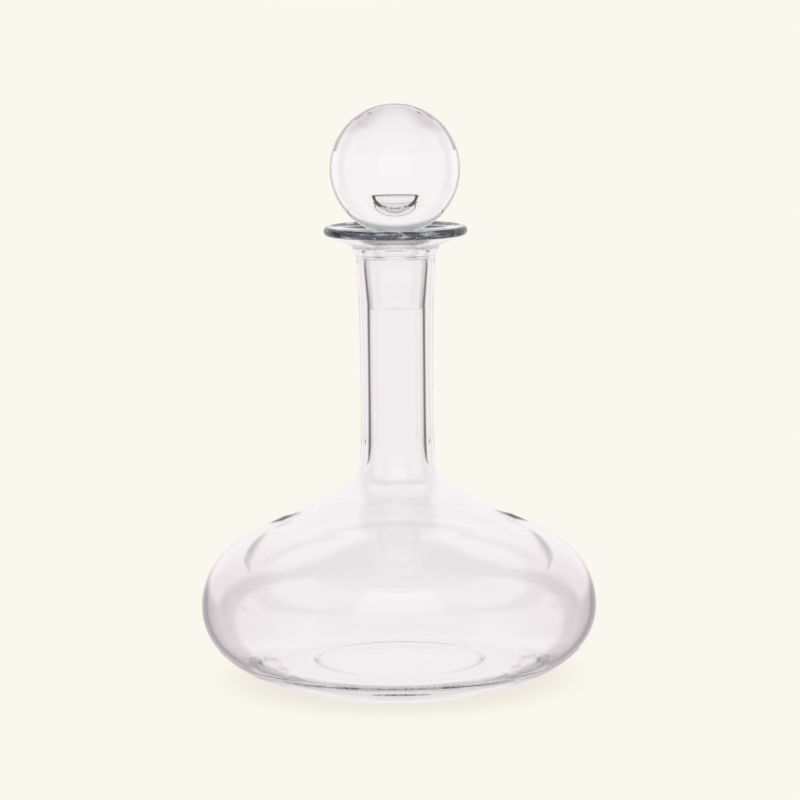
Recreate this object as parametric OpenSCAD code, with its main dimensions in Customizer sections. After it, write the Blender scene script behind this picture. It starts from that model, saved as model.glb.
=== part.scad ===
// Ship's decanter in clear glass: a wide, low blown bowl with a slim neck and a
// flared pouring lip, closed by a solid ball stopper with a ground peg.
// Millimetres. +Z is up the axis; the origin is the centre of the foot, on the table.

/* [Bowl] */
// Outer radius at the widest place
bowl_r = 92.6; // [88:0.1:97]
// Height of the widest place above the table
bowl_z = 34.7; // [33.5:0.1:36]
// Radius of the side's curve above the widest place
side_up_r = 33.2; // [30:0.2:36]
// Angle above horizontal at which the side passes into the shoulder
side_up_a = 56.4; // [54:0.2:58]
// Radius of the long convex shoulder
shoulder_r = 136; // [120:1:145]
// Angle at which the shoulder turns from convex to concave
shoulder_a = 68.5; // [66.5:0.1:69.5]
// Radius of the concave sweep up to the neck
sweep_r = 140.6; // [132:0.2:148]
// Angle at which the sweep passes into the neck's root
sweep_a = 56.9; // [53:0.1:60]
// Radius of the side's curve below the widest place
side_low_r = 28.4; // [26:0.2:30]
// Angle below horizontal at which the side passes into the flatter heel
side_low_a = 49; // [44:1:54]
// Radius of the flatter heel curve
heel_r = 59.6; // [54:0.2:64]
// Radius of the rounded edge that the bowl stands on
foot_edge_r = 2; // [1:0.25:3]
// Thickness of the bowl's wall
wall_t = 2.6; // [2:0.1:3.4]

/* [Base] */
// Thickness of the solid glass base where the floor meets the heel
base_t = 8.2; // [7.2:0.1:8.6]
// Rise of the inner floor from the heel to the centre
floor_rise = 0.4; // [0:0.1:1]
// Radius of the curve between the floor and the side, inside
inner_heel_r = 30; // [27.5:0.5:36]
// Radius of the shallow recess under the base
recess_r = 39.3; // [30:0.1:48]
// Depth of the recess at its edge
recess_t = 1; // [0.6:0.1:1.6]
// Depth of the recess at the centre
recess_mid_t = 1.4; // [0.8:0.1:2]

/* [Neck] */
// Outer radius at the foot of the neck
neck_root_r = 17.4; // [16.8:0.1:18]
// Outer radius at the neck's slimmest place
waist_r = 16.9; // [16.2:0.1:17.4]
// Height of the slimmest place
waist_z = 131.3; // [125:0.1:143]
// Outer radius under the lip
neck_top_r = 18.5; // [18:0.1:19]
// Height of the neck's top, where the lip was put on
neck_top_z = 199.1; // [198:0.1:201]
// Radius of the bore
bore_r = 12.35; // [11.5:0.05:13]

/* [Lip] */
// Outer radius of the rim
rim_r = 33.35; // [31:0.05:36]
// Height of the middle of the rim's bead
rim_z = 210.2; // [209:0.1:212]
// Radius of the rim's rounded bead
bead_r = 2.2; // [1.6:0.05:2.4]
// Radius of the collar where the lip grips the neck
collar_r = 19.6; // [19.2:0.1:20.5]

/* [Stopper] */
// Radius of the ball
ball_r = 30.25; // [29:0.05:32]
// Height of the ball's centre when the stopper is seated
ball_z = 238.6; // [237.8:0.1:240.6]
// Height of the lower end of the ground taper
plug_z0 = 175.2; // [171.5:0.1:178]
// Height of the upper end of the ground taper
plug_z1 = 197.1; // [195:0.1:197.6]
// Radius of the taper at its upper end
plug_top_r = 14.55; // [13.8:0.05:14.7]
// Gap between the taper and its seat, all round
seat_gap = 0.06; // [0.04:0.01:0.1]
// Radius of the waist between the taper and the ball
shank_r = 9.3; // [8.5:0.1:10.5]
// Radius of the air bubble above the peg
bubble_r = 9; // [8:0.1:10.6]
// Depth of the air bubble
bubble_depth = 7; // [5:0.1:10]
// Height of the bubble's flat top
bubble_top_z = 230.3; // [228:0.1:231]
// Radius of the peg's core, inside the ball and round the bubble
core_r = 11.6; // [11:0.1:13]

/* [Hidden] */
$fn = 96;

// Height at which the bowl passes into the neck
joint_z = 111;
// Height of the inner floor at its centre, the top of the solid base
floor_z = base_t + floor_rise;
// Heights at which the heel passes into the body, and the body into the shoulder
heel_top_z = 20;
body_top_z = 47;
// Radius of the taper at its lower end, a little under the bore
plug_low_r = bore_r - seat_gap;
// How far the seat and the lip's throat open above the taper
throat_r = 15.2;

// Points along an arc about c from angle a0 to a1, without the first point.
function arc(c, r, a0, a1, n) =
    [for (i = [1:n]) let (a = a0 + (a1 - a0) * i / n) c + r * [cos(a), sin(a)]];
function dir(a) = [cos(a), sin(a)];
function reversed(p) = [for (i = [len(p) - 1:-1:0]) p[i]];

// Centres of the bowl's tangent arcs. Each one lies on the normal through the
// point where its arc meets the one before.
c_low = [bowl_r - side_low_r, bowl_z];
c_heel = c_low + dir(-side_low_a) * (side_low_r - heel_r);
foot_a = asin((c_heel[1] - foot_edge_r) / (heel_r - foot_edge_r));
c_foot = c_heel + dir(-foot_a) * (heel_r - foot_edge_r);
c_up = [bowl_r - side_up_r, bowl_z];
c_shoulder = c_up + dir(side_up_a) * (side_up_r - shoulder_r);
c_sweep = c_shoulder + dir(shoulder_a) * (shoulder_r + sweep_r);
sweep_end = c_sweep - dir(sweep_a) * sweep_r;
// The root of the neck is the arc that ends upright on the neck's outside.
root_r = (sweep_end[0] - neck_root_r) / (1 - cos(sweep_a));
c_root = sweep_end + dir(sweep_a) * root_r;

// The inside follows the same arcs, one wall thickness in.
in_sweep_end = c_sweep - dir(sweep_a) * (sweep_r + wall_t);
in_root_r = (in_sweep_end[0] - bore_r) / (1 - cos(sweep_a));
c_in_root = in_sweep_end + dir(sweep_a) * in_root_r;
side_in_r = side_low_r - wall_t;
// The inner heel starts where its lowest point comes down to the floor.
in_heel_a = asin((bowl_z - base_t - inner_heel_r) / (side_in_r - inner_heel_r));
c_in_heel = c_low + dir(-in_heel_a) * (side_in_r - inner_heel_r);

// Outside radius of the neck at height z: a long curve below the waist, another
// above it.
neck_z0 = c_root[1];
function neck_r(z) = z < waist_z
    ? waist_r + (neck_root_r - waist_r) * pow((waist_z - z) / (waist_z - neck_z0), 2)
    : waist_r + (neck_top_r - waist_r) * pow((z - waist_z) / (neck_top_z - waist_z), 2);
function neck_side(z0, z1, n) =
    [for (i = [1:n]) let (z = z0 + (z1 - z0) * i / n) [neck_r(z), z]];

bowl_outside = concat(
    [[recess_r + recess_t / 2, 0], [c_foot[0], 0]],
    arc(c_foot, foot_edge_r, -90, -foot_a, 4),
    arc(c_heel, heel_r, -foot_a, -side_low_a, 5),
    arc(c_low, side_low_r, -side_low_a, 0, 9),
    arc(c_up, side_up_r, 0, side_up_a, 10),
    arc(c_shoulder, shoulder_r, side_up_a, shoulder_a, 6),
    arc(c_sweep, sweep_r, shoulder_a + 180, sweep_a + 180, 6),
    arc(c_root, root_r, sweep_a + 180, 180, 9),
    neck_side(neck_z0, joint_z, 3));

bowl_inside = concat(
    [for (t = [0, 0.25, 0.5, 0.75, 1])
        [c_in_heel[0] * t, base_t + floor_rise * (1 - t * t * (3 - 2 * t))]],
    arc(c_in_heel, inner_heel_r, -90, -in_heel_a, 10),
    arc(c_low, side_in_r, -in_heel_a, 0, 6),
    arc(c_up, side_up_r - wall_t, 0, side_up_a, 10),
    arc(c_shoulder, shoulder_r - wall_t, side_up_a, shoulder_a, 6),
    arc(c_sweep, sweep_r + wall_t, shoulder_a + 180, sweep_a + 180, 6),
    arc(c_in_root, in_root_r, sweep_a + 180, 180, 9),
    [[bore_r, joint_z]]);

// Half of the bowl's section, from the base up to the neck.
module bowl_section() {
    polygon(concat(
        [[0, recess_mid_t], [recess_r * 0.5, recess_mid_t * 0.7 + recess_t * 0.3]],
        [[recess_r, recess_t]],
        bowl_outside,
        reversed(bowl_inside)));
}

// One zone of the bowl, between two heights. The zones are one piece of glass.
module bowl_zone(z0, z1) {
    rotate_extrude()
        intersection() {
            bowl_section();
            translate([0, z0])
                square([bowl_r + 5, z1 - z0]);
        }
}

module base() {
    color([0.91, 0.90, 0.93, 0.4])
        bowl_zone(0, floor_z);
}

module heel() {
    color([0.92, 0.90, 0.92, 0.38])
        bowl_zone(floor_z, heel_top_z);
}

module body() {
    color([0.95, 0.94, 0.95, 0.3])
        bowl_zone(heel_top_z, body_top_z);
}

module shoulder() {
    color([0.94, 0.93, 0.94, 0.32])
        bowl_zone(body_top_z, joint_z);
}

module neck() {
    color([0.91, 0.90, 0.91, 0.35])
        rotate_extrude()
            polygon(concat(
                [[bore_r, joint_z], [neck_r(joint_z), joint_z]],
                neck_side(joint_z, waist_z, 4),
                neck_side(waist_z, neck_top_z, 12),
                [[throat_r, neck_top_z], [plug_top_r + seat_gap, plug_z1]],
                [[bore_r, plug_z0]]));
}

// The lip: an applied collar that opens into a shallow funnel with a round bead.
module pouring_lip() {
    slope_a = 31;
    throat_c = [throat_r + 5, neck_top_z + 1];
    bead_c = [rim_r - bead_r, rim_z];
    collar_c = [collar_r + 4, neck_top_z + 1.4];
    color([0.92, 0.92, 0.93, 0.35])
        rotate_extrude()
            polygon(concat(
                [[throat_r, neck_top_z], [neck_top_r + 0.3, neck_top_z]],
                [[collar_r - 0.2, neck_top_z + 0.4], [collar_r, neck_top_z + 1.4]],
                arc(collar_c, 4, 180, 90 + slope_a, 4),
                [bead_c + bead_r * dir(slope_a - 90)],
                arc(bead_c, bead_r, slope_a - 90, slope_a + 90, 14),
                [throat_c + 5 * dir(slope_a + 90)],
                arc(throat_c, 5, slope_a + 90, 180, 5)));
}

// Half of the core's outline, from the waist up to the rim of its hollow.
core_side = [[shank_r, ball_z - ball_r + 3.5], [core_r, ball_z - ball_r + 8], [core_r, bubble_top_z]];

// The peg: a ground taper, a rounded shoulder, a waist, and a core with a round
// hollow in its top that reaches up into the ball.
module stopper_peg() {
    shoulder = plug_top_r - shank_r - 1;
    color([0.88, 0.87, 0.88, 0.4])
        rotate_extrude()
            polygon(concat(
                [[0, plug_z0 - 0.8], [plug_low_r - 0.9, plug_z0 - 0.8]],
                [[plug_low_r, plug_z0], [plug_top_r, plug_z1]],
                arc([plug_top_r - 1, plug_z1], 1, 0, 90, 3),
                arc([plug_top_r - 1, plug_z1 + 1 + shoulder], shoulder, 270, 180, 6),
                core_side,
                [[bubble_r, bubble_top_z]],
                [for (p = arc([0, 0], bubble_r, 0, -90, 9))
                    [p[0], bubble_top_z + p[1] * bubble_depth / bubble_r]]));
}

// The ball: solid glass gathered over the peg's core.
module stopper_ball() {
    color([0.94, 0.93, 0.94, 0.35])
        difference() {
            translate([0, 0, ball_z])
                sphere(r = ball_r);
            rotate_extrude()
                polygon(concat(
                    [[0, ball_z - ball_r - 1], [shank_r, ball_z - ball_r - 1]],
                    core_side,
                    [[0, bubble_top_z]]));
        }
}

base();
heel();
body();
shoulder();
neck();
pouring_lip();
stopper_peg();
stopper_ball();
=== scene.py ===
"""A ship's decanter in clear glass, standing on a pale table in soft studio light.

Every piece of glass is a body of revolution. The outlines below are chains of arcs, in millimetres, that
are turned about the Z axis into closed skins, so that light bends through them as through the real walls.
"""
import math

import bmesh
import bpy
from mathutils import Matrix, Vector


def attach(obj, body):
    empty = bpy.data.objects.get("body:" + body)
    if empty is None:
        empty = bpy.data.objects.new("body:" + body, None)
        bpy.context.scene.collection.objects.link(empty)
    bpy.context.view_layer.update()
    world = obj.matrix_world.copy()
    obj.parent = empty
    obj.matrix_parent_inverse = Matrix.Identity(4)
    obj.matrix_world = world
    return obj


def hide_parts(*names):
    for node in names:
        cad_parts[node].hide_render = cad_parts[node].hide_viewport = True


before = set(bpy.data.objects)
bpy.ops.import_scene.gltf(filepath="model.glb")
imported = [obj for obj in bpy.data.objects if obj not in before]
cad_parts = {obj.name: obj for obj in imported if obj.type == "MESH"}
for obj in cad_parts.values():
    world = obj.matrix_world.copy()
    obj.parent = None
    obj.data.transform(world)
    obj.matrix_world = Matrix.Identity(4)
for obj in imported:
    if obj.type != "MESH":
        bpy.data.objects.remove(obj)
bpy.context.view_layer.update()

MM = 0.001
TURN_STEPS = 256
ARC_STEP = 1.5
SHARP_DEG = 35
# Points along a stretch that is not an arc, which keep the skin's faces short.
SHORT_RUN = 16
RECESS_EDGE_RUN = 18
LONG_RUN = 24
NECK_RUN = 60

# ---------------------------------------------------------------- sizes of the vessel, mm
# R is a radius, Z a height, T a thickness or depth, and A an angle in degrees.
BOWL_R = 92.6
BOWL_Z = 34.7
SIDE_UP_R = 33.2
SIDE_UP_A = 56.4
SHOULDER_R = 136.0
SHOULDER_A = 68.5
SWEEP_R = 140.6
SWEEP_A = 56.9
SIDE_LOW_R = 28.4
SIDE_LOW_A = 49.0
HEEL_R = 59.6
FOOT_EDGE_R = 2.0
WALL_T = 2.6
BASE_T = 8.2
FLOOR_RISE = 0.4
INNER_HEEL_R = 30.0
RECESS_R = 39.3
RECESS_T = 1.0
RECESS_MID_T = 1.4
RECESS_EASE = 2.0
NECK_ROOT_R = 17.4
WAIST_R = 16.9
WAIST_Z = 131.3
NECK_TOP_R = 18.5
NECK_TOP_Z = 199.1
BORE_R = 12.35
RIM_R = 33.35
RIM_Z = 210.2
BEAD_R = 2.2
LIP_SLOPE_A = 31.0
COLLAR_R = 19.6
COLLAR_Z = NECK_TOP_Z + 1.4
COLLAR_EASE_R = 4.0
THROAT_R = 15.2
THROAT_Z = NECK_TOP_Z + 1.0
THROAT_EASE_R = 5.0
# The neck's own curve ends this far below the collar.
NECK_SEAM = 0.6
# The rounded step where the collar grips the neck, and the bevel from the throat into the ground seat.
COLLAR_STEP = ((NECK_TOP_R + 0.3, NECK_TOP_Z), (COLLAR_R - 0.35, NECK_TOP_Z + 0.4), (COLLAR_R, COLLAR_Z))
SEAT_BEVEL = ((THROAT_R, NECK_TOP_Z), (THROAT_R - 0.25, NECK_TOP_Z - 0.9))

# ---------------------------------------------------------------- sizes of the stopper, mm
BALL_R = 30.25
BALL_Z = 238.6
PLUG_Z0 = 175.2
PLUG_Z1 = 197.1
PLUG_TOP_R = 14.55
PLUG_TAPER_A = 6.0
SEAT_GAP = 0.06
SHANK_R = 9.3
# How far the peg goes on below its taper, and the rounded edges at its lower end and at the taper's top.
TIP_T = 0.8
TIP_EDGE_R = 0.9
PLUG_EDGE_R = 1.0
BUBBLE_R = 9.0
BUBBLE_TOP_Z = 230.3
BUBBLE_T = 7.0
BUBBLE_EDGE_R = 0.5


# ---------------------------------------------------------------- outlines
def direction(a):
    """The unit vector at a degrees."""
    a = math.radians(a)
    return Vector((math.cos(a), math.sin(a)))


def arc(c, r, a0, a1, step=None):
    """Points on an arc about c from a0 to a1 degrees, without the first."""
    n = max(2, math.ceil(abs(a1 - a0) / (step or ARC_STEP)))
    return [Vector(c) + direction(a0 + (a1 - a0) * i / n) * r for i in range(1, n + 1)]


def line(p, q, n):
    """Points on a straight stretch from p to q, without the first."""
    return [Vector(p).lerp(Vector(q), i / n) for i in range(1, n + 1)]


def eased(p, q, n):
    """Points on a stretch from p to q that is level at both ends, without the first."""
    points = line(p, q, n)
    for i, point in enumerate(points, start=1):
        t = i / n
        point.y = p[1] + (q[1] - p[1]) * t * t * (3 - 2 * t)
    return points


def neck_r(z):
    """Outside radius of the neck: one long curve below the waist and another above it."""
    if z < WAIST_Z:
        return WAIST_R + (NECK_ROOT_R - WAIST_R) * ((WAIST_Z - z) / (WAIST_Z - c_root.y)) ** 2
    return WAIST_R + (NECK_TOP_R - WAIST_R) * ((z - WAIST_Z) / (NECK_TOP_Z - WAIST_Z)) ** 2


# The centres of the bowl's tangent arcs, each on the normal where two arcs meet.
c_low = Vector((BOWL_R - SIDE_LOW_R, BOWL_Z))
c_heel = c_low + direction(-SIDE_LOW_A) * (SIDE_LOW_R - HEEL_R)
foot_a = math.degrees(math.asin((c_heel.y - FOOT_EDGE_R) / (HEEL_R - FOOT_EDGE_R)))
c_foot = c_heel + direction(-foot_a) * (HEEL_R - FOOT_EDGE_R)
c_up = Vector((BOWL_R - SIDE_UP_R, BOWL_Z))
c_shoulder = c_up + direction(SIDE_UP_A) * (SIDE_UP_R - SHOULDER_R)
c_sweep = c_shoulder + direction(SHOULDER_A) * (SHOULDER_R + SWEEP_R)
sweep_end = c_sweep - direction(SWEEP_A) * SWEEP_R
root_r = (sweep_end.x - NECK_ROOT_R) / (1 - math.cos(math.radians(SWEEP_A)))
c_root = sweep_end + direction(SWEEP_A) * root_r
in_sweep_end = c_sweep - direction(SWEEP_A) * (SWEEP_R + WALL_T)
in_root_r = (in_sweep_end.x - BORE_R) / (1 - math.cos(math.radians(SWEEP_A)))
c_in_root = in_sweep_end + direction(SWEEP_A) * in_root_r
side_in_r = SIDE_LOW_R - WALL_T
in_heel_a = math.degrees(math.asin((BOWL_Z - BASE_T - INNER_HEEL_R) / (side_in_r - INNER_HEEL_R)))
c_in_heel = c_low + direction(-in_heel_a) * (side_in_r - INNER_HEEL_R)


def underside():
    """From the middle of the shallow recess out to where the foot's edge begins."""
    p = [Vector((0, RECESS_MID_T))]
    p += line(p[-1], (RECESS_R - RECESS_EASE, RECESS_T), LONG_RUN)
    p += eased(p[-1], (RECESS_R + RECESS_EASE, 0), RECESS_EDGE_RUN)
    p += line(p[-1], (c_foot.x, 0), SHORT_RUN)
    return p


def outside():
    """Up the foot's edge, the heel, the bowl's side, the shoulder and the neck."""
    p = arc(c_foot, FOOT_EDGE_R, -90, -foot_a, step=6)
    p += arc(c_heel, HEEL_R, -foot_a, -SIDE_LOW_A)
    p += arc(c_low, SIDE_LOW_R, -SIDE_LOW_A, 0)
    p += arc(c_up, SIDE_UP_R, 0, SIDE_UP_A)
    p += arc(c_shoulder, SHOULDER_R, SIDE_UP_A, SHOULDER_A, ARC_STEP / 2)
    p += arc(c_sweep, SWEEP_R, SHOULDER_A + 180, SWEEP_A + 180, ARC_STEP / 2)
    p += arc(c_root, root_r, SWEEP_A + 180, 180)
    heights = [q.y for q in line(p[-1], (NECK_TOP_R, NECK_TOP_Z - NECK_SEAM), NECK_RUN)]
    p += [Vector((neck_r(z), z)) for z in heights]
    return p


def lip():
    """The collar, the flare's underside, the rim's bead, and the flare's upper side down to the throat."""
    throat_c = Vector((THROAT_R + THROAT_EASE_R, THROAT_Z))
    bead_c = Vector((RIM_R - BEAD_R, RIM_Z))
    p = [Vector(point) for point in COLLAR_STEP]
    p += arc((COLLAR_R + COLLAR_EASE_R, COLLAR_Z), COLLAR_EASE_R, 180, 90 + LIP_SLOPE_A, step=6)
    p += line(p[-1], bead_c + direction(LIP_SLOPE_A - 90) * BEAD_R, SHORT_RUN)
    p += arc(bead_c, BEAD_R, LIP_SLOPE_A - 90, LIP_SLOPE_A + 90, step=7.5)
    p += line(p[-1], throat_c + direction(LIP_SLOPE_A + 90) * THROAT_EASE_R, SHORT_RUN)
    p += arc(throat_c, THROAT_EASE_R, LIP_SLOPE_A + 90, 180, step=5)
    return p


def inside():
    """Down the ground seat and the bore, under the shoulder and round the bowl to its floor's middle."""
    p = [Vector(point) for point in SEAT_BEVEL]
    p += line((PLUG_TOP_R + SEAT_GAP, PLUG_Z1), (BORE_R, PLUG_Z0), SHORT_RUN)
    p += line(p[-1], (BORE_R, c_in_root.y), LONG_RUN)
    p += arc(c_in_root, in_root_r, 180, SWEEP_A + 180)
    p += arc(c_sweep, SWEEP_R + WALL_T, SWEEP_A + 180, SHOULDER_A + 180, ARC_STEP / 2)
    p += arc(c_shoulder, SHOULDER_R - WALL_T, SHOULDER_A, SIDE_UP_A, ARC_STEP / 2)
    p += arc(c_up, SIDE_UP_R - WALL_T, SIDE_UP_A, 0)
    p += arc(c_low, side_in_r, 0, -in_heel_a)
    p += arc(c_in_heel, INNER_HEEL_R, -in_heel_a, -90)
    p += eased(p[-1], (0, BASE_T + FLOOR_RISE), LONG_RUN)
    return p


def vessel_outline():
    """One closed outline, from the underside's middle, up the outside, over the lip and down the inside."""
    return underside() + outside() + lip() + inside()


def stopper_outline():
    """From the peg's lower end up the ground taper and the waist, and over the ball."""
    tip_r = BORE_R - SEAT_GAP - TIP_EDGE_R
    tip_z = PLUG_Z0 - TIP_T
    plug_r = PLUG_TOP_R - PLUG_EDGE_R
    shoulder_r = plug_r - SHANK_R
    join_a = math.degrees(math.acos(SHANK_R / BALL_R))
    p = [Vector((0, tip_z))]
    p += line(p[-1], (tip_r, tip_z), n=8)
    p += arc((tip_r, tip_z + TIP_EDGE_R), TIP_EDGE_R, -90, -PLUG_TAPER_A, step=14)
    p += line(p[-1], (PLUG_TOP_R, PLUG_Z1), SHORT_RUN)
    p += arc((plug_r, PLUG_Z1), PLUG_EDGE_R, 0, 90, step=10)
    p += arc((plug_r, PLUG_Z1 + PLUG_EDGE_R + shoulder_r), shoulder_r, 270, 180, step=6)
    p += line(p[-1], (SHANK_R, BALL_Z - BALL_R * math.sin(math.radians(join_a))), n=6)
    p += arc((0, BALL_Z), BALL_R, -join_a, 90)
    p[-1].x = 0
    return p


def bubble_outline():
    """The air bubble: a round bowl below, a narrow rounded edge, and a flat top."""
    edge_z = BUBBLE_TOP_Z - BUBBLE_EDGE_R
    depth = BUBBLE_T - BUBBLE_EDGE_R
    p = [Vector((0, edge_z - depth))]
    p += [Vector((BUBBLE_R * q.x, edge_z + depth * q.y)) for q in arc((0, 0), 1, -90, 0, step=3)]
    p += arc((BUBBLE_R - BUBBLE_EDGE_R, edge_z), BUBBLE_EDGE_R, 0, 90, step=9)
    p += line(p[-1], (0, BUBBLE_TOP_Z), SHORT_RUN)
    return p


# ---------------------------------------------------------------- skins
def revolve(bm, outline, inward=False, slot_of=None):
    """Turns an outline about Z. The outline runs with the glass on its left; inward is for a bubble, which
    has the glass on its right. slot_of gives the material slot at a radius and height."""
    rings = []
    for point in outline:
        r, z = point.x * MM, point.y * MM
        if r < 1e-9:
            rings.append([bm.verts.new((0, 0, z))])
            continue
        angles = (2 * math.pi * k / TURN_STEPS for k in range(TURN_STEPS))
        rings.append([bm.verts.new((r * math.cos(a), r * math.sin(a), z)) for a in angles])
    for row, (low, high) in enumerate(zip(rings, rings[1:])):
        for k in range(TURN_STEPS):
            j = (k + 1) % TURN_STEPS
            if len(low) == 1:
                loop = [low[0], high[j], high[k]]
            elif len(high) == 1:
                loop = [low[k], low[j], high[0]]
            else:
                loop = [low[k], low[j], high[j], high[k]]
            if inward:
                loop.reverse()
            face = bm.faces.new(loop)
            face.smooth = True
            if slot_of:
                middle = (outline[row] + outline[row + 1]) / 2
                face.material_index = slot_of(middle.x, middle.y)


def add_object(bm, name, materials):
    """Puts a finished mesh into the scene."""
    mesh = bpy.data.meshes.new(name)
    bm.to_mesh(mesh)
    bm.free()
    for m in materials:
        mesh.materials.append(m)
    o = bpy.data.objects.new(name, mesh)
    bpy.context.scene.collection.objects.link(o)
    return o


def add_glass(bm, name, materials):
    """Puts a piece of glass into the scene. The shade in the table's material stands in for its shadow."""
    piece = add_object(bm, name, materials)
    piece.data.set_sharp_from_angle(angle=math.radians(SHARP_DEG))
    piece.visible_diffuse = False
    piece.visible_shadow = False
    return piece


# ---------------------------------------------------------------- glass
CLEAR = (0.995, 0.993, 0.995, 1)
GROUND = (0.985, 0.98, 0.985, 1)
# Painted shade: the dark base colour on the outward side of the rim's bead.
RIM_PAINTED_SHADE = (0.025, 0.034, 0.040, 1)
# Painted highlight: the pale streaks over the bead's painted shade.
RIM_PAINTED_HIGHLIGHT = (0.40, 0.45, 0.48, 1)
GLASS_IOR = 1.5
RIPPLE_DETAIL = 1.5
GRAIN_SCALE = 1400
GRAIN_DETAIL = 2
GRAIN_MM = 0.002
GROUND_ROUGHNESS = 0.04
# Size, squash and edges of the painted highlight streaks on the bead.
STREAK_SCALE = 190
STREAK_DETAIL = 2
STREAK_SQUASH = 4
STREAK_FROM = 0.50
STREAK_TO = 0.68


def add_bump(m, scale, detail, depth_mm):
    """Bends a material's surface with noise, on top of any bend that it has already."""
    nodes, links = m.node_tree.nodes, m.node_tree.links
    normal = nodes["Principled BSDF"].inputs["Normal"]
    place = nodes.new("ShaderNodeTexCoord")
    noise = nodes.new("ShaderNodeTexNoise")
    noise.inputs["Scale"].default_value = scale
    noise.inputs["Detail"].default_value = detail
    bend = nodes.new("ShaderNodeBump")
    bend.inputs["Strength"].default_value = 1
    bend.inputs["Distance"].default_value = depth_mm * MM
    links.new(place.outputs["Object"], noise.inputs["Vector"])
    links.new(noise.outputs["Fac"], bend.inputs["Height"])
    if normal.is_linked:
        links.new(normal.links[0].from_socket, bend.inputs["Normal"])
    links.new(bend.outputs["Normal"], normal)


def glass(name, tint, ripple_mm, ripple_scale, roughness=0.0):
    """Glass that light passes through, with a slow ripple in its surface."""
    m = bpy.data.materials.new(name)
    m.use_nodes = True
    shader = m.node_tree.nodes["Principled BSDF"]
    shader.inputs["Base Color"].default_value = tint
    shader.inputs["Transmission Weight"].default_value = 1
    shader.inputs["Roughness"].default_value = roughness
    shader.inputs["IOR"].default_value = GLASS_IOR
    add_bump(m, ripple_scale, RIPPLE_DETAIL, ripple_mm)
    return m


def add_painted_highlight_streaks(m, dark, light):
    """Level streaks of painted highlight over painted shade round the bead, as its base colour."""
    nodes, links = m.node_tree.nodes, m.node_tree.links
    place = nodes.new("ShaderNodeTexCoord")
    squash = nodes.new("ShaderNodeMapping")
    squash.inputs["Scale"].default_value = (1, 1, STREAK_SQUASH)
    noise = nodes.new("ShaderNodeTexNoise")
    noise.inputs["Scale"].default_value = STREAK_SCALE
    noise.inputs["Detail"].default_value = STREAK_DETAIL
    contrast = nodes.new("ShaderNodeMapRange")
    contrast.interpolation_type = "SMOOTHSTEP"
    contrast.inputs["From Min"].default_value = STREAK_FROM
    contrast.inputs["From Max"].default_value = STREAK_TO
    tone = nodes.new("ShaderNodeMix")
    tone.data_type = "RGBA"
    tone.inputs["A"].default_value = dark
    tone.inputs["B"].default_value = light
    links.new(place.outputs["Object"], squash.inputs["Vector"])
    links.new(squash.outputs["Vector"], noise.inputs["Vector"])
    links.new(noise.outputs["Fac"], contrast.inputs["Value"])
    links.new(contrast.outputs["Result"], tone.inputs["Factor"])
    links.new(tone.outputs["Result"], nodes["Principled BSDF"].inputs["Base Color"])


vessel_glass = glass("vessel_glass", CLEAR, ripple_mm=0.02, ripple_scale=45)
# The rim's bead: painted shade in its base colour, streaked with painted highlights.
rim_painted_shade_glass = glass("rim_painted_shade_glass", RIM_PAINTED_SHADE, ripple_mm=0.08, ripple_scale=160)
add_painted_highlight_streaks(rim_painted_shade_glass, RIM_PAINTED_SHADE, RIM_PAINTED_HIGHLIGHT)
stopper_glass = glass("stopper_glass", CLEAR, ripple_mm=0.01, ripple_scale=60)
ground_glass = glass("ground_glass", GROUND, ripple_mm=0.01, ripple_scale=60, roughness=GROUND_ROUGHNESS)
add_bump(ground_glass, GRAIN_SCALE, GRAIN_DETAIL, GRAIN_MM)

# ---------------------------------------------------------------- pieces
# The stretch of the bead, in degrees above level, where the glass is seen at its darkest and carries
# painted shade in its base colour.
PAINTED_SHADE_LOW_DEG = -68
PAINTED_SHADE_HIGH_DEG = 60
SKIN_TOLERANCE = 0.02


def vessel_slot(r, z):
    """1 on the outward side of the rim's bead, where its base colour is painted shade, 0 elsewhere."""
    out, up = r - (RIM_R - BEAD_R), z - RIM_Z
    on_bead = math.hypot(out, up) < BEAD_R + SKIN_TOLERANCE
    outward = PAINTED_SHADE_LOW_DEG < math.degrees(math.atan2(up, out)) < PAINTED_SHADE_HIGH_DEG
    return 1 if on_bead and outward else 0


def stopper_slot(r, z):
    """1 on the ground taper, up to the middle of its top edge, and 0 elsewhere."""
    return 1 if z < PLUG_Z1 + PLUG_EDGE_R / 2 else 0


vessel_skin = bmesh.new()
revolve(vessel_skin, vessel_outline(), slot_of=vessel_slot)
vessel = add_glass(vessel_skin, "vessel_skin", [vessel_glass, rim_painted_shade_glass])
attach(vessel, "vessel")
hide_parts("base", "heel", "body", "shoulder", "neck", "pouring_lip")

stopper_skin = bmesh.new()
revolve(stopper_skin, stopper_outline(), slot_of=stopper_slot)
revolve(stopper_skin, bubble_outline(), inward=True)
stopper = add_glass(stopper_skin, "stopper_skin", [stopper_glass, ground_glass])
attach(stopper, "stopper")
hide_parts("stopper_peg", "stopper_ball")


# ---------------------------------------------------------------- table
def srgb(r, g, b):
    """A colour from its screen values, 0 to 255."""
    def lin(v):
        v /= 255
        return v / 12.92 if v <= 0.04045 else ((v + 0.055) / 1.055) ** 2.4
    return (lin(r), lin(g), lin(b), 1)


CREAM = srgb(250, 247, 238)
SHADE = srgb(237, 233, 223)
# The shade round the foot fades out between these radii, in metres like the rest of the studio.
SHADE_R0 = 0.060
SHADE_R1 = 0.096
FLOOR_WIDTH = 60


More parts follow.
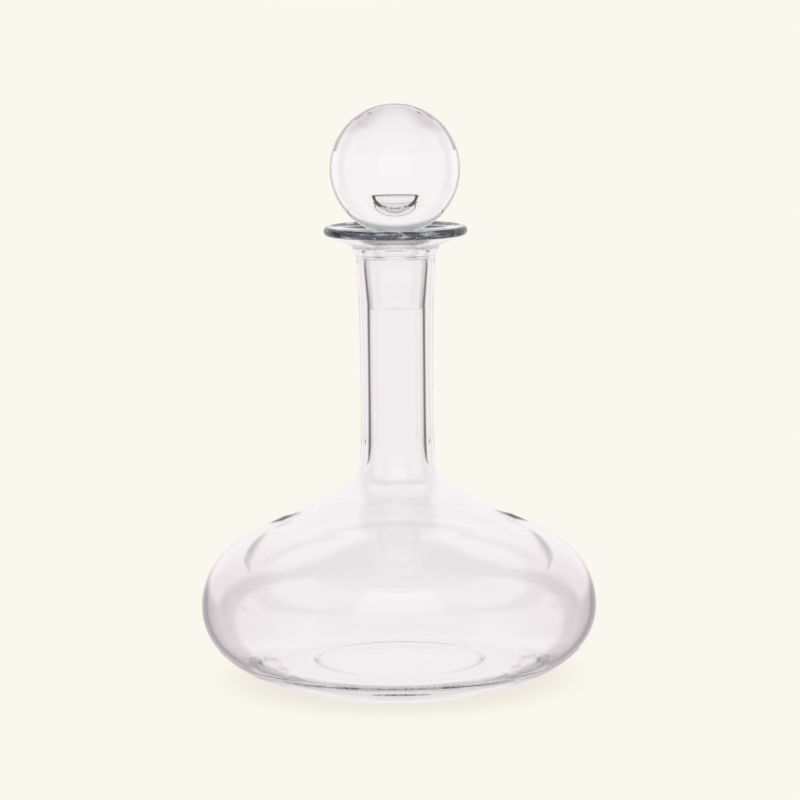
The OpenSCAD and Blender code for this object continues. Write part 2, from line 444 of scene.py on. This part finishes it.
def table_material():
    """Matt cream. The light that bowl and foot keep off the table is a soft shade round the foot."""
    m = bpy.data.materials.new("pale_table")
    m.use_nodes = True
    nodes, links = m.node_tree.nodes, m.node_tree.links
    nodes.clear()
    place = nodes.new("ShaderNodeTexCoord")
    reach = nodes.new("ShaderNodeVectorMath")
    reach.operation = "LENGTH"
    shade = nodes.new("ShaderNodeMapRange")
    shade.interpolation_type = "SMOOTHSTEP"
    shade.inputs["From Min"].default_value = SHADE_R0
    shade.inputs["From Max"].default_value = SHADE_R1
    tone = nodes.new("ShaderNodeMix")
    tone.data_type = "RGBA"
    tone.inputs["A"].default_value = SHADE
    tone.inputs["B"].default_value = CREAM
    matt = nodes.new("ShaderNodeBsdfDiffuse")
    out = nodes.new("ShaderNodeOutputMaterial")
    links.new(place.outputs["Object"], reach.inputs[0])
    links.new(reach.outputs["Value"], shade.inputs["Value"])
    links.new(shade.outputs["Result"], tone.inputs["Factor"])
    links.new(tone.outputs["Result"], matt.inputs["Color"])
    links.new(matt.outputs[0], out.inputs["Surface"])
    return m


def build_floor():
    """The table's top, which the glass itself doesn't see."""
    half = FLOOR_WIDTH / 2
    bm = bmesh.new()
    corners = ((-half, -half, 0), (half, -half, 0), (half, half, 0), (-half, half, 0))
    bm.faces.new([bm.verts.new(corner) for corner in corners])
    floor = add_object(bm, "floor", [table_material()])
    floor.visible_transmission = False
    floor.visible_glossy = False


# ---------------------------------------------------------------- light tent
# The decanter stands in a round tent of lit cloth. Only glass sees it: the camera sees the cream
# backdrop, and the table is lit by an even white sky. Lengths are in metres.
TENT_R = 0.35
TENT_Z = 0.12
CLOTH = (0.94, 0.90, 0.905, 1)
CLOTH_NEAR = (0.62, 0.60, 0.61, 1)
CLOTH_LOW = (0.78, 0.73, 0.75, 1)
DARK_HOOP = (0.07, 0.065, 0.055, 1)
TOP_SHADE = (0.30, 0.32, 0.33, 1)
SOFTBOX = (1.2, 1.17, 1.18, 1)
SKIRT = (0.42, 0.38, 0.39, 1)
SKIRT_R = 0.2
SKIRT_LOW_Z = -0.12
SKIRT_HIGH_Z = 0.06
# A card reaches from one azimuth to another, in degrees, and fades at both over its softness. Its lower and
# upper edges are given as (radius, height). The neck's leans outward, and the bowl sees it nearly edge-on.
SHOULDER_CARD = (0.16, 0.13, 0.15, 1)
SHOULDER_CARD_AZIMUTH = (26.2, 31.8)
SHOULDER_CARD_SOFT = 0.6
SHOULDER_CARD_LOWER = (0.14, 0.066)
SHOULDER_CARD_UPPER = (0.14, 0.087)
NECK_CARD = (0.13, 0.115, 0.10, 1)
NECK_CARD_AZIMUTH = (47, 76)
NECK_CARD_SOFT = 13
NECK_CARD_LOWER = (0.098, 0.085)
NECK_CARD_UPPER = (0.218, 0.175)
ROUND_STEPS = 96
TENT_ROWS = 64
CARD_STEPS = 8


class Cloth:
    """A glowing material whose colour is built from the place on it, one soft-edged zone over another.

    Azimuth is 0 behind the decanter and 180 behind the camera, the same to either side. Elevation is from
    the object's own origin. Swing is the angle from the direction straight behind the decanter.
    """

    def __init__(self, name, base):
        self.material = bpy.data.materials.new(name)
        self.material.use_nodes = True
        self.material.cycles.emission_sampling = "NONE"
        self.nodes = self.material.node_tree.nodes
        self.links = self.material.node_tree.links
        self.nodes.clear()
        place = self.nodes.new("ShaderNodeTexCoord")
        unit = self.nodes.new("ShaderNodeVectorMath")
        unit.operation = "NORMALIZE"
        self.links.new(place.outputs["Object"], unit.inputs[0])
        parts = self.nodes.new("ShaderNodeSeparateXYZ")
        self.links.new(unit.outputs[0], parts.inputs[0])
        x, y, z = parts.outputs
        self.azimuth = self.calculate("ABSOLUTE", self.calculate("ARCTAN2", x, y))
        self.elevation = self.calculate("ARCSINE", z)
        self.swing = self.calculate("ARCCOSINE", y)
        start = self.nodes.new("ShaderNodeRGB")
        start.outputs[0].default_value = base
        self.colour = start.outputs[0]

    def calculate(self, kind, *values):
        n = self.nodes.new("ShaderNodeMath")
        n.operation = kind
        for socket, value in zip(n.inputs, values):
            self.links.new(value, socket)
        return n.outputs[0]

    def ramp(self, value, start, end):
        """Rises smoothly from 0 at start to 1 at end, in degrees; start may be the greater."""
        n = self.nodes.new("ShaderNodeMapRange")
        n.interpolation_type = "SMOOTHSTEP"
        n.inputs["From Min"].default_value = math.radians(min(start, end))
        n.inputs["From Max"].default_value = math.radians(max(start, end))
        n.inputs["To Min"].default_value = 1 if start > end else 0
        n.inputs["To Max"].default_value = 0 if start > end else 1
        self.links.new(value, n.inputs["Value"])
        return n.outputs["Result"]

    def mask(self, azimuth=(), elevation=(), swing=()):
        """Is 1 where every ramp is 1. Each ramp is (start, end) in degrees."""
        product = None
        for value, ramps in ((self.azimuth, azimuth), (self.elevation, elevation), (self.swing, swing)):
            for start, end in ramps:
                one = self.ramp(value, start, end)
                product = one if product is None else self.calculate("MULTIPLY", product, one)
        return product

    def zone(self, colour, **ramps):
        """Lays a colour where the mask of these ramps is 1."""
        n = self.nodes.new("ShaderNodeMix")
        n.data_type = "RGBA"
        self.links.new(self.mask(**ramps), n.inputs["Factor"])
        self.links.new(self.colour, n.inputs["A"])
        n.inputs["B"].default_value = colour
        self.colour = n.outputs["Result"]

    def finish(self, mask=None):
        """Makes the cloth glow in its colour, and clear where there is a mask and it is 0."""
        glow = self.nodes.new("ShaderNodeEmission")
        self.links.new(self.colour, glow.inputs["Color"])
        surface = glow.outputs[0]
        if mask is not None:
            clear = self.nodes.new("ShaderNodeBsdfTransparent")
            blend = self.nodes.new("ShaderNodeMixShader")
            self.links.new(mask, blend.inputs[0])
            self.links.new(clear.outputs[0], blend.inputs[1])
            self.links.new(surface, blend.inputs[2])
            surface = blend.outputs[0]
        out = self.nodes.new("ShaderNodeOutputMaterial")
        self.links.new(surface, out.inputs["Surface"])
        return self.material


def stage_for_glass(bm, name, material):
    """Puts a piece of the studio into the scene, for only the rays that glass bends or reflects."""
    o = add_object(bm, name, [material])
    o.visible_camera = False
    o.visible_diffuse = False
    o.visible_shadow = False
    return o


def add_band(bm, lower, upper, azimuth, steps, side=1):
    """A curved band between two edges, each (radius, height), over an azimuth (from, to) in degrees, which
    counts to the right for side 1 and to the left for side -1."""
    start, end = (math.radians(a) for a in azimuth)
    edges = []
    for r, z in (lower, upper):
        angles = (start + (end - start) * k / steps for k in range(steps + 1))
        edges.append([bm.verts.new((side * r * math.sin(a), r * math.cos(a), z)) for a in angles])
    low, high = edges
    for k in range(steps):
        bm.faces.new((low[k], low[k + 1], high[k + 1], high[k]))


def build_tent():
    """The round tent: pale cloth, and the zones that give the glass its tones."""
    cloth = Cloth("tent_cloth", CLOTH)
    # Greyer cloth on the camera's side.
    cloth.zone(CLOTH_NEAR, azimuth=[(80, 120)])
    # A softbox, high behind the camera.
    cloth.zone(SOFTBOX, azimuth=[(150, 156)], elevation=[(12, 16), (60, 50)])
    # Less light low down to the left and right.
    cloth.zone(CLOTH_LOW, azimuth=[(6, 28), (90, 72)], elevation=[(-8, -20), (-64, -48)])
    # A shaded top.
    cloth.zone(TOP_SHADE, elevation=[(50, 58)])
    # The glass bends the dark hoop into view only near its edges, where it draws the thin outlines.
    cloth.zone(DARK_HOOP, swing=[(60, 72), (88, 80)])
    bm = bmesh.new()
    bmesh.ops.create_uvsphere(bm, u_segments=ROUND_STEPS, v_segments=TENT_ROWS, radius=TENT_R)
    tent = stage_for_glass(bm, "light_tent", cloth.finish())
    tent.location = (0, 0, TENT_Z)


def build_skirt():
    """A low, greyer skirt of cloth inside the tent, left and right. Of the glass, only the bowl sees it."""
    cloth = Cloth("skirt_cloth", SKIRT)
    mask = cloth.mask(azimuth=[(30, 50), (92, 76)], elevation=[(14, 7)])
    bm = bmesh.new()
    add_band(bm, (SKIRT_R, SKIRT_LOW_Z), (SKIRT_R, SKIRT_HIGH_Z), (0, 360), ROUND_STEPS)
    stage_for_glass(bm, "light_skirt", cloth.finish(mask))


def build_cards(name, colour, azimuth, soft, lower, upper):
    """Two curved dark cards close to the glass, one to each side."""
    start, end = azimuth
    cloth = Cloth(name + "_paper", colour)
    paper = cloth.finish(cloth.mask(azimuth=[(start, start + soft), (end, end - soft)]))
    for side, end_name in ((-1, "left"), (1, "right")):
        bm = bmesh.new()
        add_band(bm, lower, upper, azimuth, CARD_STEPS, side)
        stage_for_glass(bm, name + "_" + end_name, paper)


def build_world():
    """Cream for the camera and white for the table."""
    world = bpy.data.worlds.new("sky")
    bpy.context.scene.world = world
    world.use_nodes = True
    nodes, links = world.node_tree.nodes, world.node_tree.links
    nodes.clear()
    cream = nodes.new("ShaderNodeBackground")
    cream.inputs["Color"].default_value = CREAM
    white = nodes.new("ShaderNodeBackground")
    white.inputs["Color"].default_value = (1, 1, 1, 1)
    path = nodes.new("ShaderNodeLightPath")
    blend = nodes.new("ShaderNodeMixShader")
    out = nodes.new("ShaderNodeOutputWorld")
    links.new(path.outputs["Is Camera Ray"], blend.inputs[0])
    links.new(white.outputs[0], blend.inputs[1])
    links.new(cream.outputs[0], blend.inputs[2])
    links.new(blend.outputs[0], out.inputs["Surface"])


build_floor()
build_tent()
build_skirt()
build_cards("shoulder_card", SHOULDER_CARD, SHOULDER_CARD_AZIMUTH, SHOULDER_CARD_SOFT,
            SHOULDER_CARD_LOWER, SHOULDER_CARD_UPPER)
build_cards("neck_card", NECK_CARD, NECK_CARD_AZIMUTH, NECK_CARD_SOFT, NECK_CARD_LOWER, NECK_CARD_UPPER)
build_world()

# ---------------------------------------------------------------- camera
# Lengths in metres. The roll is about the line of sight, and the shifts are parts of the frame's width.
DISTANCE = 1.44
HEIGHT = 0.331
AIM_Z = 0.125
ROLL_DEG = -0.555
SENSOR_MM = 36
LENS_MM = 140.355
SHIFT_X = 0.0035
SHIFT_Y = 0.016
CLIP_END = 100
# Light that is trapped in the thick heel ends in a black line after fewer bounces.
BOUNCES = 128

camera_data = bpy.data.cameras.new("camera")
camera_data.sensor_width = SENSOR_MM
camera_data.lens = LENS_MM
camera_data.shift_x = SHIFT_X
camera_data.shift_y = SHIFT_Y
camera_data.clip_end = CLIP_END
camera = bpy.data.objects.new("camera", camera_data)
camera.location = (0, -DISTANCE, HEIGHT)
look = Vector((0, 0, AIM_Z)) - camera.location
camera.rotation_euler = look.to_track_quat("-Z", "Y").to_euler()
camera.rotation_euler.rotate_axis("Z", math.radians(ROLL_DEG))
bpy.context.scene.collection.objects.link(camera)
bpy.context.scene.camera = camera
bpy.context.scene.view_settings.view_transform = "Standard"
bpy.context.scene.cycles.max_bounces = BOUNCES
bpy.context.scene.cycles.transmission_bounces = BOUNCES
bpy.context.scene.cycles.glossy_bounces = BOUNCES
bpy.context.scene.cycles.caustics_refractive = True
bpy.context.scene.cycles.caustics_reflective = True
